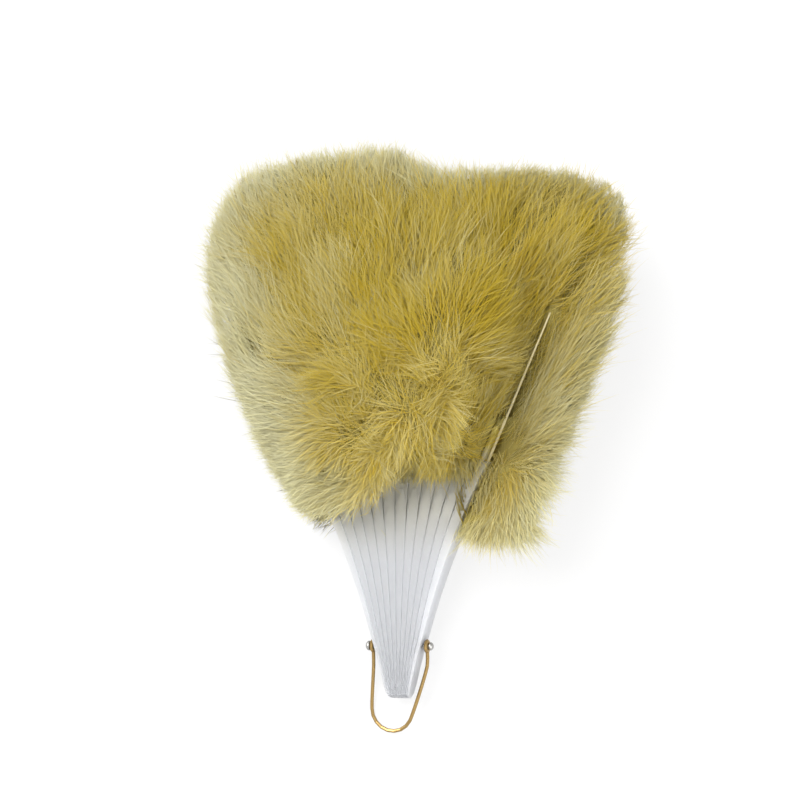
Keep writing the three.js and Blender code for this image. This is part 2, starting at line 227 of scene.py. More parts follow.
def closed_skin(rings):
    """A closed skin over rings of points: two triangles for each step around and along, and a fan to the
    middle of the first ring and of the last. Points and triangles."""
    count, sides = rings.shape[:2]
    row, column = np.meshgrid(np.arange(count - 1), np.arange(sides), indexing="ij")
    near = row * sides + column
    after = row * sides + (column + 1) % sides
    walls = np.stack([near, after, after + sides, near, after + sides, near + sides], axis=-1)
    around = np.arange(sides)
    beside = (around + 1) % sides
    pole = 0 * around + count * sides
    last = (count - 1) * sides
    start = np.stack([beside, around, pole], axis=-1)
    end = np.stack([last + around, last + beside, pole + 1], axis=-1)
    points = np.concatenate([rings.reshape(-1, 3), rings[:1].mean(1), rings[-1:].mean(1)])
    return points, np.concatenate([walls.reshape(-1, 3), start, end])


def tube(path, radii, sides):
    """Rings of a round tube: a circle of the given radius is carried along the path, square to it."""
    ahead = np.gradient(path, axis=0)
    ahead /= np.linalg.norm(ahead, axis=1, keepdims=True)
    side = np.cross(ahead, across_staves)
    side /= np.linalg.norm(side, axis=1, keepdims=True)
    up = np.cross(ahead, side)
    turn = np.linspace(0, 2 * np.pi, sides, endpoint=False)[None, :, None]
    spokes = np.cos(turn) * side[:, None] + np.sin(turn) * up[:, None]
    return path[:, None] + radii[:, None, None] * spokes


def pale_horn():
    """Feather shaft: cream, a little darker and browner in long streaks, with a soft gloss."""
    material, tone = new_finish("pale_horn")
    place = tone.node("ShaderNodeTexCoord", out=3)
    drawn = tone.node("ShaderNodeMapping", inputs={"Vector": place, "Scale": (1500.0, 60.0, 1500.0)})
    streak = tone.node("ShaderNodeTexNoise", inputs={"Vector": drawn, "Scale": 1.0, "Detail": 2.0})
    colour = mix_colours(tone, streak, (0.86, 0.79, 0.52, 1), (0.74, 0.64, 0.34, 1))
    horn = tone.node("ShaderNodeBsdfPrincipled", inputs={
        "Base Color": colour, "Roughness": 0.35 + streak * 0.2})
    tone.node("ShaderNodeOutputMaterial", inputs={"Surface": horn})
    return material


QUILL_START = 75 * MM
QUILL_END = 188 * MM
QUILL_RINGS = 24
QUILL_SIDES = 10
QUILL_SHARES = (0, 0.04, 0.96, 1)
QUILL_RADII = (0.4, 0.8, 0.32, 0.1)
quill_horn = pale_horn()
quill_run = np.linspace(QUILL_START, QUILL_END, QUILL_RINGS)
quill_radii = np.interp(np.linspace(0, 1, QUILL_RINGS), QUILL_SHARES, QUILL_RADII) * MM
for number, label in enumerate(labels):
    line = from_pin(stave_place(number, quill_run) + QUILL_SIDE, quill_run, np.zeros(QUILL_RINGS))
    points, faces = closed_skin(tube(line, quill_radii, QUILL_SIDES))
    quill = mesh_piece(f"shaft_{label}", points, faces, quill_horn, bodies[number], "quill")
    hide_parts(f"quill_{label}")


# Tops of the staves. The real blades keep their full thickness a little further up than the packed
# ones, to where the down begins, so each stave gets this length of the same plastic over its tongue.
CROWN_START = 60 * MM
CROWN_ROUND = 79 * MM
CROWN_END = 86 * MM
CROWN_RINGS = 14
SHOULDER_HALF_WIDTH = 7.4 * MM
SHOULDER = 74 * MM
STAVE_TAIL = 24 * MM
TAIL_HALF_WIDTH = 4.4 * MM
BLADE_PLAY = 0.75 * MM
CROWN_INSET = 0.04 * MM
CROWN_NARROWING = 3 * MM
CORNERS_ACROSS = np.array((1, 1, 0, -1, -1, 0))
CORNERS_BESIDE = np.array((-1, 1, 1, 1, -1, -1))
crown_run = np.linspace(CROWN_START, CROWN_END, CROWN_RINGS)[:, None]
taper = np.minimum(1, (crown_run + STAVE_TAIL) / (SHOULDER + STAVE_TAIL))
crown_width = TAIL_HALF_WIDTH + (SHOULDER_HALF_WIDTH - TAIL_HALF_WIDTH) * taper - CROWN_INSET / 2
rounded = np.clip((crown_run - CROWN_ROUND) / (CROWN_END - CROWN_ROUND), 0, 1)
crown_width -= CROWN_NARROWING * rounded ** 2
across = crown_width * CORNERS_ACROSS
reach = np.hypot(crown_run, across)
for number, label in enumerate(labels):
    swell = 2 * BLADE_SWELL if number else 0
    thick = half_stack(reach) / MIDDLE - BLADE_PLAY - CROWN_INSET + swell
    beside = stave_place(number, reach) + thick / 2 * CORNERS_BESIDE
    rings = from_pin(beside, crown_run + 0 * across, across)
    rings[..., 2] = np.maximum(rings[..., 2], 0)
    points, faces = closed_skin(rings)
    name = f"stave_crown_{label}"
    crown = mesh_piece(name, points, faces, stave_plastic, bodies[number], "stave", smoothed=False)
    dress_solid(crown, stave_plastic, BLADE_EDGE)


# Down. Loose olive gold down of dyed feathers. Soft barbs stand in tufts that overlap like shingles,
# combed away from the staves, and mingle with their neighbours. Each plume is glued to its quill, and
# the whole mass is flattened on the table below.
DOWN_START = 53 * MM
DOWN_TOP = 238 * MM
LEFT_SPREAD = np.radians(41.2)
RIGHT_SPREAD = np.radians(38)
DOWN_SHIFT = 4 * MM
LEFT_REACH = 32 * MM
LEFT_POWER = 0.75
RIGHT_SINK = 10 * MM
SINK_START = 0.1
SINK_END = 0.54
RIGHT_FLARE = 16 * MM
RIGHT_DROP = 5 * MM
FLARE_POWER = 5
DOWN_ABOVE = 48 * MM
DOWN_BELOW = 60 * MM
RIM_RISE = 6 * MM
RIM_LOW = 10 * MM
RIM_HIGH = 44 * MM
SIDE_POWER = 3.5
LEFT_CORNER_POWER = 0.39
RIGHT_CORNER_POWER = 0.21
CORNER_SHARE = 0.993
LOWER_OPENING = 2
SWELL_PLACE = 0.75
SWELL_POWER = 0.7
RELIEF = 2.6 * MM
RELIEF_ROWS = 9
RELIEF_COLUMNS = 11
draw = np.random.default_rng(20)


def waves(count, length):
    """A smooth random field: a sum of plane waves near one wavelength, as a function of x and y."""
    angle = draw.uniform(0, 2 * np.pi, count)
    pace = 2 * np.pi / (length * draw.uniform(0.7, 1.5, count))
    phase = draw.uniform(0, 2 * np.pi, count)

    def field(x, y):
        turn = (x[..., None] * np.cos(angle) + y[..., None] * np.sin(angle)) * pace + phase
        return np.sin(turn).sum(-1) * np.sqrt(2 / count)

    return field


swirl = waves(7, 60 * MM)
whorls = waves(9, 26 * MM)
patches = waves(9, 34 * MM)


def smooth(value, low, high):
    """0 below low, 1 above high, with a smooth step between."""
    share = np.clip((value - low) / (high - low), 0, 1)
    return share * share * (3 - 2 * share)


def quill_plane(x, y):
    """Height over the table of the plane of the quills."""
    return pin[2] + np.tan(TILT) * y + np.tan(ROLL) * x


def last_quill(y):
    """Place across the table of the last quill."""
    return (half_stack(y) + QUILL_SIDE) * np.cos(ROLL)


PARTING_PLACE = 5 * MM
PARTING_HALF_WIDTH = 9 * MM
PARTING_DEPTH = 5 * MM
PARTING_RUN = (130 * MM, 180 * MM)
VALLEY_SLOPE = 34 * MM
VALLEY_OPENS = (40 * MM, 66 * MM)
VALLEY_CLOSES = (138 * MM, 178 * MM)
LOBE_RISE = 0.55
LOBE_FOOT = 2 * MM
LOBE_CREST = 26 * MM
SHAFT_BARE = 2 * MM
TONGUE_COVER = 11 * MM
TONGUE_FADES = (102 * MM, 112 * MM)
SHOULDER_COVER = 7 * MM
SHOULDER_FADES = (80 * MM, 88 * MM)


def hollows(x, y, height):
    """How far the down sinks: a parting up its middle, and a broad valley with the last quill at its
    bottom, beyond which the right lobe rises again. The valley keeps a cover over the last stave."""
    parting = np.exp(-((x - PARTING_PLACE) / PARTING_HALF_WIDTH) ** 2) * smooth(y, *PARTING_RUN)
    quill = last_quill(y)
    bottom = 1 - LOBE_RISE * smooth(x, quill + LOBE_FOOT, quill + LOBE_CREST)
    ends = smooth(y, *VALLEY_OPENS) * (1 - smooth(y, *VALLEY_CLOSES))
    valley = bottom * smooth(x, quill - VALLEY_SLOPE, quill) * ends
    over_stave = 1 - smooth(x, quill - 2.5 * MM, quill - 0.5 * MM)
    tongue = TONGUE_COVER * (1 - smooth(y, *TONGUE_FADES)) * over_stave
    cover = np.maximum(tongue, SHOULDER_COVER * (1 - smooth(y, *SHOULDER_FADES))) - SHAFT_BARE
    return PARTING_DEPTH * parting + np.maximum(0, height - cover) * valley


def down_point(length, side, up):
    """A point of the down from its shares of the length, the half width and the half height: a wedge
    that opens away from the pin to a blunt top, with its rim near the plane of the quills, a swell above
    and below that ends at both tips, and flat on the table. Full shares are on its skin."""
    length = np.clip(length, 1e-4, 1 - 1e-4)
    reach = DOWN_START + (DOWN_TOP - DOWN_START) * length
    left = side < 0
    corner = np.where(left, LEFT_CORNER_POWER, RIGHT_CORNER_POWER)
    blunt = (1 - CORNER_SHARE * (reach / DOWN_TOP) ** SIDE_POWER) ** corner
    spread = side * blunt * np.minimum(1, LOWER_OPENING * np.sqrt(np.sin(np.pi * length)))
    angle = np.where(left, LEFT_SPREAD, RIGHT_SPREAD) * spread
    flare = np.maximum(0, spread) * (1 - length) ** FLARE_POWER
    x = DOWN_SHIFT + reach * np.sin(angle) + RIGHT_FLARE * flare
    sunk = smooth(spread, 0, SINK_START) * np.maximum(0, 1 - spread / SINK_END)
    lobe = np.where(left, LEFT_REACH * np.abs(spread) ** LEFT_POWER, -RIGHT_SINK * sunk)
    y = length * lobe - RIGHT_DROP * flare
    y = y + reach * (np.cos(angle) + (1 - np.cos(angle)) * length ** 2)
    rim = np.clip(quill_plane(x, y) + RIM_RISE, RIM_LOW, RIM_HIGH)
    swell = np.sin(np.pi * length ** SWELL_PLACE) ** SWELL_POWER
    relief = RELIEF * np.cos(RELIEF_COLUMNS * side) * np.cos(RELIEF_ROWS * np.pi * length)
    z = rim + up * swell * (np.where(up > 0, DOWN_ABOVE, DOWN_BELOW) + relief)
    z = z - np.where(up > 0, hollows(x, y, z - quill_plane(x, y)), 0)
    return np.stack([pin[0] + x, pin[1] + y, np.maximum(z, 0)], axis=-1)


def down_skin(length, turn):
    """Points of the skin of the down at a share of its length and a turn about it, with their normals
    and the area that each stands for: the cross product of small steps along and around."""
    step = 1e-3
    along = down_point(length + step, np.cos(turn), np.sin(turn))
    along = along - down_point(length - step, np.cos(turn), np.sin(turn))
    around = down_point(length, np.cos(turn + step), np.sin(turn + step))
    around = around - down_point(length, np.cos(turn - step), np.sin(turn - step))
    normal = np.cross(along, around)
    area = np.linalg.norm(normal, axis=1) + 1e-15
    return down_point(length, np.cos(turn), np.sin(turn)), normal / area[:, None], area


CENTRE = np.array((6 * MM, 150 * MM))
rim_share = np.linspace(0.002, 0.998, 300)
rim = [down_point(rim_share, 0 * rim_share + side, 0 * rim_share) for side in (-1, 1)]
rim = (np.concatenate(rim) - pin)[:, :2] - CENTRE
rim_turn = np.arctan2(rim[:, 1], rim[:, 0])
rim_order = np.argsort(rim_turn)
rim_turn = rim_turn[rim_order]
rim_reach = np.hypot(rim[:, 0], rim[:, 1])[rim_order]


def beyond(spot):
    """How far a place over the table is past the outline of the down, below 0 inside. The outline is
    taken as a distance from a point in its middle, by the direction seen from there."""
    away = spot[:, :2] - CENTRE
    reach = np.interp(np.arctan2(away[:, 1], away[:, 0]), rim_turn, rim_reach, period=2 * np.pi)
    return np.hypot(away[:, 0], away[:, 1]) - reach


COMB_X = 8 * MM
COMB_Y = 90 * MM
COMB_STRETCH = 0.85
COMB_SWIRL = 0.2
MESS_Y = 95 * MM
MESS_RADII = (22 * MM, 60 * MM)
MESS_TURN = 1.3
SHAFT_HEADING = np.arctan2(1, OUTER_SPLAY * np.cos(ROLL))
SHAFT_STRIP = 16 * MM
SHAFT_STARTS = (70 * MM, 90 * MM)
SHAFT_ENDS = (160 * MM, 190 * MM)
SHAFT_LEFT_TURN = 0.25
SHAFT_RIGHT_TURN = -0.75
HANG_HEADING = -1.65
HANG_NEAR = (-4 * MM, 2 * MM)
HANG_FAR = (12 * MM, 30 * MM)


def flow(x, y):
    """Heading in which the tufts lie, seen from above: away from a place low in the down, with a slow
    swirl, at random near that place, along the last quill beside it, and down below it."""
    heading = np.arctan2(y - COMB_Y, COMB_STRETCH * (x - COMB_X)) + COMB_SWIRL * swirl(x, y)
    messy = 1 - smooth(np.hypot(x - COMB_X, y - MESS_Y), *MESS_RADII)
    heading = heading + MESS_TURN * messy * whorls(x, y)
    away = x - last_quill(y)
    beside = np.exp(-(away / SHAFT_STRIP) ** 2) * smooth(y, *SHAFT_STARTS)
    beside = beside * (1 - smooth(y, *SHAFT_ENDS))
    wanted = SHAFT_HEADING + np.where(away < 0, SHAFT_LEFT_TURN, SHAFT_RIGHT_TURN)
    heading = heading + beside * (wanted - heading)
    hanging = smooth(away, *HANG_NEAR) * (1 - smooth(away, *HANG_FAR))
    hanging = hanging * (1 - smooth(y, *SHAFT_STARTS))
    return heading + hanging * (HANG_HEADING - heading)


STRAND_POINTS = 4


def grow(root, normal, ahead, length, heading, curl, rise, lay):
    """Barbs from roots on a skin: each sets out at its heading off the way ahead and its rise off the
    skin, and on its way the heading changes by its curl and the rise goes over to its lay. Equal steps
    are summed."""
    side = np.cross(normal, ahead)
    share = (np.arange(STRAND_POINTS - 1) + 0.5) / (STRAND_POINTS - 1)
    heading = (heading[:, None] + curl[:, None] * share)[..., None]
    rise = (rise[:, None] + (lay - rise)[:, None] * share)[..., None]
    way = np.cos(rise) * (np.cos(heading) * ahead[:, None] + np.sin(heading) * side[:, None])
    steps = (way + np.sin(rise) * normal[:, None]) * (length / (STRAND_POINTS - 1))[:, None, None]
    return np.concatenate([root[:, None], root[:, None] + np.cumsum(steps, axis=1)], axis=1)


# Pith: the thick of each leaf, inside its barbs, in a dark gold that is painted shade
PITH_ROWS = 44
PITH_COLUMNS = 9
PITH_DEPTH = 0.9
PITH_SINK = 4 * MM
PITH_FLOOR = 1.5 * MM
PITH_START = 0.18
PITH_START_STEP = 0.002
OUTER_PITH_STARTS = {-1: 0.17, STAVES - 1: 0.03}
PITH_END = 0.955
LEAST_TURN = 0.02
LEAF_GAP = 0.4 * MM
TONGUE_GAP = 1.0 * MM
TONGUE_TOP = (105 * MM, 112 * MM)
BLADE_GAP = 3.5 * MM
BLADE_TOP = (84 * MM, 98 * MM)


def leaf_rings(number):
    """Rings round the pith of a numbered leaf of the down: over the top from its left side to its right,
    and back underneath. The sides of a leaf lie beside the staves, so the turn about the down at which
    each ring meets them is looked up from the stave numbers of its points."""
    sweep = np.linspace(0, np.pi, 181)
    first = OUTER_PITH_STARTS.get(number, PITH_START + PITH_START_STEP * number)
    lengths = np.linspace(first, PITH_END, 140)
    limits = []
    for over in (1, -1):
        high = over * PITH_DEPTH * np.sin(sweep)
        points = down_point(lengths[:, None], PITH_DEPTH * np.cos(sweep), high)
        stave = np.maximum.accumulate(stack_number(points)[:, ::-1], axis=1)
        reach = np.hypot((points - pin) @ along_staves, (points - pin) @ across_staves).mean(1)
        pitch = half_stack(reach) / MIDDLE
        gap = (LEAF_GAP + TONGUE_GAP * (1 - smooth(reach, *TONGUE_TOP))) / pitch
        wide_gap = gap + BLADE_GAP * (1 - smooth(reach, *BLADE_TOP)) / pitch
        left_gap = wide_gap if number == STAVES - 1 else gap
        right_gap = wide_gap if number < 0 else gap
        from_left = [np.pi if number < 0 else np.interp(number + room, row, sweep[::-1])
                     for row, room in zip(stave, left_gap)]
        to_right = [0 if number == STAVES - 1 else np.interp(number + 1 - room, row, sweep[::-1])
                    for row, room in zip(stave, right_gap)]
        limits.append((np.array(from_left), np.array(to_right)))
    width = np.minimum(limits[0][0] - limits[0][1], limits[1][0] - limits[1][1])
    wide = np.flatnonzero(width > LEAST_TURN)
    chosen = lengths[np.linspace(wide[0], wide[-1], PITH_ROWS).round().astype(int)]
    share = np.linspace(0, 1, PITH_COLUMNS)
    halves = []
    for over, (left, right) in zip((1, -1), limits):
        left = np.interp(chosen, lengths, left)[:, None]
        right = np.interp(chosen, lengths, right)[:, None]
        turn = left + (right - left) * share
        length = chosen[:, None] + 0 * turn
        half = down_point(length, PITH_DEPTH * np.cos(turn), over * PITH_DEPTH * np.sin(turn))
        half[..., 2] -= over * PITH_SINK * np.sin(turn)
        halves.append(half)
    rings = np.concatenate([halves[0], halves[1][:, ::-1]], axis=1)
    rings[..., 2] = np.maximum(rings[..., 2], PITH_FLOOR)
    return rings


leaves = range(-1, STAVES)
piths = [leaf_rings(number) for number in leaves]

# Tufts: places spread evenly over the skin, but for the bare tops of the staves. Shares of the length
# are drawn closer together towards the top, and the area makes up for it.
thin = 1
TUFTS = 3600
TUFT_TRIES = 100 * TUFTS
TOP_SHARE = 0.994
SHARE_RANGE = 0.99
THICK_BELOW = (80 * MM, 150 * MM)
HIGH_DENSITY = 0.5
LOW_DENSER = 0.9
UNDER_HEIGHT = 0.5 * MM
UNDER_SHARE = 0.3
UNDER_RIM = 10 * MM
FIRST_BARE = -0.4
LEAST_UPWARD = -0.2
GUARD_LEFT = -7 * MM
GUARD_RIGHT = 3 * MM
GUARD_EDGE = 86 * MM
GUARD_EDGE_SLOPE = 0.35
STAVE_EDGE = 79 * MM
LEFT_EDGE_SLOPE = 0.6
RIGHT_EDGE_SLOPE = 0.2
LOW_LEFT_X = -10 * MM
LOW_LEFT_Y = 64 * MM
outer = draw.uniform(0.02, 1, TUFT_TRIES)
share = TOP_SHARE - SHARE_RANGE * outer ** 2
turn = draw.uniform(0, 2 * np.pi, TUFT_TRIES)
place, normal, area = down_skin(share, turn)
area *= outer
spot = place - pin
x, y = spot[:, 0], spot[:, 1]
under = place[:, 2] < UNDER_HEIGHT
density = HIGH_DENSITY + LOW_DENSER * (1 - smooth(y, *THICK_BELOW))
weight = np.where(under, UNDER_SHARE, 1) * density * area / np.percentile(area, 99)
to_guard = x - last_quill(y)
guard_edge = GUARD_EDGE + GUARD_EDGE_SLOPE * x
stave_edge = STAVE_EDGE + np.where(x < 0, LEFT_EDGE_SLOPE, RIGHT_EDGE_SLOPE) * x
bare = (stack_number(place) > FIRST_BARE) & (to_guard < GUARD_RIGHT) & (normal[:, 2] > LEAST_UPWARD)
bare &= y < np.where(to_guard > GUARD_LEFT, guard_edge, stave_edge)
bare |= under & (beyond(spot) > -UNDER_RIM)
bare |= (x < LOW_LEFT_X) & (y < LOW_LEFT_Y)
kept = np.flatnonzero((draw.uniform(0, 1, TUFT_TRIES) < weight) & ~bare)[:TUFTS]
place, normal, spot = place[kept], normal[kept], spot[kept]
x, y = spot[:, 0], spot[:, 1]
count = len(kept)
past_rim = beyond(spot)

# The way each tuft lies along the skin, scattered a little, and most where the skin is steep
HEADING_SCATTER = 0.14
STEEP_SCATTER = 0.3
heading = flow(x, y) + draw.normal(0, HEADING_SCATTER, count)
level = np.stack([np.cos(heading), np.sin(heading), 0 * heading], axis=-1)
outward = (level * normal).sum(1)
ahead = level - outward[:, None] * normal
upright = np.array((0, 0, 1)) - normal[:, 2:] * normal
climb = STEEP_SCATTER * (1 - np.abs(normal[:, 2])) * draw.normal(0, 1, count)
ahead += climb[:, None] * upright
ahead /= np.linalg.norm(ahead, axis=1, keepdims=True) + 1e-9

# Its length, cut until its tip is within a loose fringe past the outline
TUFT_LENGTHS = (24 * MM, 40 * MM)
LOW_TUFTS = (80 * MM, 135 * MM)
LOW_SHORTER = 0.45
RIGHT_TUFTS = (25 * MM, 40 * MM)
LOW_RIGHT_LONGER = 0.3
FRINGE_SHAPE = 2
FRINGE_SCALE = 3.2 * MM
FRINGE_MOST = 11 * MM
TOP_FRINGE_START = 195 * MM
TOP_FRINGE_SHARE = 0.6
HEM = 13 * MM
HEM_ACROSS = (25 * MM, 45 * MM)
HEM_ALONG = (70 * MM, 100 * MM)
WISP = 10 * MM
WISP_SHARE = 0.1
WISP_LEFT = 25 * MM
WISP_TOP = 150 * MM
UNDERSIDE = -0.1
UNDER_FRINGE = 2 * MM
CUTS = 9
CUT_SHARE = 0.82
low_down = 1 - smooth(y, *LOW_TUFTS)
low_right = smooth(x, *RIGHT_TUFTS) * low_down
tuft_length = draw.uniform(*TUFT_LENGTHS, count)
tuft_length *= 1 - LOW_SHORTER * low_down + LOW_RIGHT_LONGER * low_right
fringe = np.minimum(draw.gamma(FRINGE_SHAPE, FRINGE_SCALE, count), FRINGE_MOST)
fringe *= np.where(y > TOP_FRINGE_START, TOP_FRINGE_SHARE, 1)
fringe += HEM * smooth(x, *HEM_ACROSS) * (1 - smooth(y, *HEM_ALONG))
wisp = (draw.uniform(0, 1, count) < WISP_SHARE) & (x > WISP_LEFT) & (y < WISP_TOP)
fringe += np.where(wisp, WISP, 0)
fringe = np.where(normal[:, 2] < UNDERSIDE, np.minimum(fringe, UNDER_FRINGE), fringe)
for _ in range(CUTS):
    tip = spot + tuft_length[:, None] * level
    tuft_length = np.where(beyond(tip) > fringe, CUT_SHARE * tuft_length, tuft_length)

# Its shade: a scattered tone with pale and gold patches, and painted light over it, paler towards
# the rim, the left, the low sides and the top
SHADE = 0.16
SHADE_SCATTER = 0.10
PATCH_SHADE = 0.09
RIM_PAINTED_LIGHT = 0.75
RIM_DEPTH = 35 * MM
PALE_LEFT = (10 * MM, 60 * MM)
PALE_TOP = (170 * MM, 215 * MM)
PALE_TOP_SHARE = 0.8
PALE_RIM_START = 1.5
PALE_RIM_DEPTH = 30 * MM
LEFT_PAINTED_LIGHT = 0.0015 / MM
LOW_SIDES = (90 * MM, 130 * MM)
LOW_SIDES_PAINTED_LIGHT = 0.003 / MM
TOP_PAINTED_LIGHT = 0.25
TOP_SHADE = (180 * MM, 225 * MM)
rim_painted_light = np.clip(1 + past_rim / RIM_DEPTH, 0, 1)
side_painted_light = np.maximum(smooth(-x, *PALE_LEFT), PALE_TOP_SHARE * smooth(y, *PALE_TOP))
side_painted_light = side_painted_light * np.clip(PALE_RIM_START + past_rim / PALE_RIM_DEPTH, 0, 1)
low_sides_painted_light = (1 - smooth(y, *LOW_SIDES)) * np.abs(x - PARTING_PLACE)
tuft_shade = draw.normal(SHADE, SHADE_SCATTER, count) + PATCH_SHADE * patches(x, y)
# painted light: paler at the rim, on the left, on the low sides and at the top
tuft_shade += RIM_PAINTED_LIGHT * np.maximum(rim_painted_light, side_painted_light)
tuft_shade += LOW_SIDES_PAINTED_LIGHT * low_sides_painted_light - LEFT_PAINTED_LIGHT * x
tuft_shade += TOP_PAINTED_LIGHT * smooth(y, *TOP_SHADE)

# How far it leans out of the skin, and how near the rim it is
FACING_OUT = (0.5, 0.95)
OUT_LENGTHS = (9 * MM, 14 * MM)
SKIN_LEAN = 0.35
OUT_LEAN = 0.55
EDGE_DEPTH = 12 * MM
facing_out = smooth(outward, *FACING_OUT)
tuft_length = np.maximum(tuft_length, draw.uniform(*OUT_LENGTHS, count) * facing_out)
lean = SKIN_LEAN * np.clip(outward, 0, 1) + OUT_LEAN * facing_out
edge = np.clip(1 + past_rim / EDGE_DEPTH, 0, 1)


def from_axis(points):
    """Ways from the axis of the pin to points, square to it, of length 1."""
    along = ((points - pin) @ along_staves)[:, None] * along_staves
    way = along + ((points - pin) @ across_staves)[:, None] * across_staves
    return way / np.linalg.norm(way, axis=1, keepdims=True)


# Ruff: tufts on the lower ends of the inner leaves, which hang out over the tops of the staves
RUFF_TUFTS = 16
RUFF_HIGHER = 0.6
RUFF_LENGTH = 15 * MM
RUFF_LENGTH_SHARES = (0.8, 1.3)
LEFT_RUFF_LONGER = 7 * MM
LEFT_RUFF_STAVES = (0, 4)
LAST_RUFF_SHARE = 0.5
RUFF_SCATTER = 0.5
RUFF_SHADE = (0.45, 0.12)
RUFF_LEAN = (-0.5, 0.1)
inner = piths[1:-1]
ends = np.concatenate([pith[0] for pith in inner])
pick = draw.integers(0, PITH_COLUMNS, (len(inner), RUFF_TUFTS))
leaf_start = 2 * PITH_COLUMNS * np.arange(len(inner))[:, None]
high = draw.uniform(0, 1, pick.size)[:, None] ** RUFF_HIGHER
over = ends[(leaf_start + pick).ravel()]
below = ends[(leaf_start + 2 * PITH_COLUMNS - 1 - pick).ravel()]
ruff = below * (1 - high) + over * high
ruff_normal = across_staves * np.sign((ruff - pin) @ across_staves)[:, None]
ruff_stave = stack_number(ruff)
ruff_length = RUFF_LENGTH + LEFT_RUFF_LONGER * (1 - smooth(ruff_stave, *LEFT_RUFF_STAVES))
ruff_length *= np.where(ruff_stave > STAVES - 2, LAST_RUFF_SHARE, 1)

# Gap tufts, on the tops of the staves between the leaves and to the right of the last stave
GAP_TUFTS = 9
GAP_SCATTER = (-0.35, 0.35)
GAP_REACH = (85 * MM, 89 * MM)
GAP_HEIGHT = (8 * MM, 12 * MM)
GAP_LENGTHS = (9 * MM, 15 * MM)
LAST_GAP = STAVES - 1.6
LEFT_GAP_LONGER = 0.6
LEFT_GAP_STAVES = (0, 5)
GAP_TURN = 0.12
GAP_SHADE = (0.55, 0.1)
GAP_LEAN = -0.2
BESIDE_TUFTS = 16
BESIDE_PLACE = (STAVES - 0.4, STAVES + 0.1)
BESIDE_REACH = (70 * MM, 92 * MM)
BESIDE_HEIGHT = (2 * MM, 8 * MM)
BESIDE_LONGER = 2
gap = np.repeat(np.arange(STAVES - 1), GAP_TUFTS) + 0.5
gap = np.minimum(gap + draw.uniform(*GAP_SCATTER, len(gap)), LAST_GAP)
gap_reach = draw.uniform(*GAP_REACH, len(gap))
gap_height = draw.uniform(*GAP_HEIGHT, len(gap))
gap = np.append(gap, draw.uniform(*BESIDE_PLACE, BESIDE_TUFTS))
gap_reach = np.append(gap_reach, draw.uniform(*BESIDE_REACH, BESIDE_TUFTS))
gap_height = np.append(gap_height, draw.uniform(*BESIDE_HEIGHT, BESIDE_TUFTS))
gap_place = from_pin(stave_place(gap, gap_reach), gap_reach, gap_height)
gap_normal = np.tile(across_staves, (len(gap), 1))

# Ruff and gap tufts hang towards the pin, and join the others
hang = draw.normal(0, RUFF_SCATTER, (len(ruff), 1)) * along_pin - from_axis(ruff)
gap_hang = draw.normal(0, GAP_TURN, (len(gap), 1)) * along_pin - along_staves
hang = np.concatenate([hang, gap_hang])
hang /= np.linalg.norm(hang, axis=1, keepdims=True)
gap_length = np.where(gap > STAVES - 1, BESIDE_LONGER, 1) * draw.uniform(*GAP_LENGTHS, len(gap))
gap_length *= 1 + LEFT_GAP_LONGER * (1 - smooth(gap, *LEFT_GAP_STAVES))
ruff_length *= draw.uniform(*RUFF_LENGTH_SHARES, len(ruff))
ruff_shade = draw.normal(*RUFF_SHADE, len(ruff))
gap_shade = draw.normal(*GAP_SHADE, len(gap))
ruff_lean = draw.uniform(*RUFF_LEAN, len(ruff))
place = np.concatenate([place, ruff, gap_place])
normal = np.concatenate([normal, ruff_normal, gap_normal])
ahead = np.concatenate([ahead, hang])
tuft_length = np.concatenate([tuft_length, ruff_length, gap_length])
tuft_shade = np.concatenate([tuft_shade, ruff_shade, gap_shade])
lean = np.concatenate([lean, ruff_lean, np.full(len(gap), GAP_LEAN)])
edge = np.concatenate([edge, np.zeros(len(ruff) + len(gap))])

# Barbs of the tufts, from places along the shaft of each tuft, outwards to both sides. The rise and the
# lay are in degrees off the skin, and the pair for a normal draw is its middle and its scatter.
TUFT_STRANDS = 27 // thin
SHAFT_SHARE = 0.4
SHAFT_AHEAD = 0.98
SHAFT_RISE = 0.12
BARB_RISE = (13, 5)
BARB_LAY = (2, 8)
BARB_SUNK = (1 * MM, 4.5 * MM)
BARB_ASIDE = 3 * MM
BARB_LENGTH_SHARES = (0.35, 0.8)
BARB_SPREAD = (0.16, 0.26)
TIP_CLOSER = 0.45
BARB_CURL = (0.1, 0.3)
BARB_SHADE_SCATTER = 0.13
BARB_RADII = (0.09 * MM, 0.20 * MM)
EDGE_THINNER = 0.45
SKIN_SHADING = 0.7
SKY_SHADING = 0.9
SHADING_SCATTER = 0.2
FACING_DOWN = -0.8
tuft = np.repeat(np.arange(len(place)), TUFT_STRANDS)
count = len(tuft)
along = draw.uniform(0, 1, count)
hand = np.where(draw.uniform(0, 1, count) < 0.5, 1, -1)
rise = np.radians(draw.normal(*BARB_RISE, count)) + lean[tuft]
lay = np.radians(draw.normal(*BARB_LAY, count)) + lean[tuft]
sunk = draw.uniform(*BARB_SUNK, count)
shaft = tuft_length[tuft] * SHAFT_SHARE * along
root = place[tuft] - sunk[:, None] * normal[tuft]
root = root + shaft[:, None] * (SHAFT_AHEAD * ahead[tuft] + SHAFT_RISE * normal[tuft])
root = root + draw.normal(0, BARB_ASIDE, count)[:, None] * np.cross(normal, ahead)[tuft]
length = tuft_length[tuft] * draw.uniform(*BARB_LENGTH_SHARES, count)
spread = hand * np.abs(draw.normal(*BARB_SPREAD, count)) * (1 - TIP_CLOSER * along)
curl = hand * draw.normal(*BARB_CURL, count)
line = grow(root, normal[tuft], ahead[tuft], length, spread, curl, rise, lay)
shade = np.clip(tuft_shade[tuft] + draw.normal(0, BARB_SHADE_SCATTER, count), 0, 1)
radius = draw.uniform(*BARB_RADII, count) * (1 - EDGE_THINNER * edge[tuft])
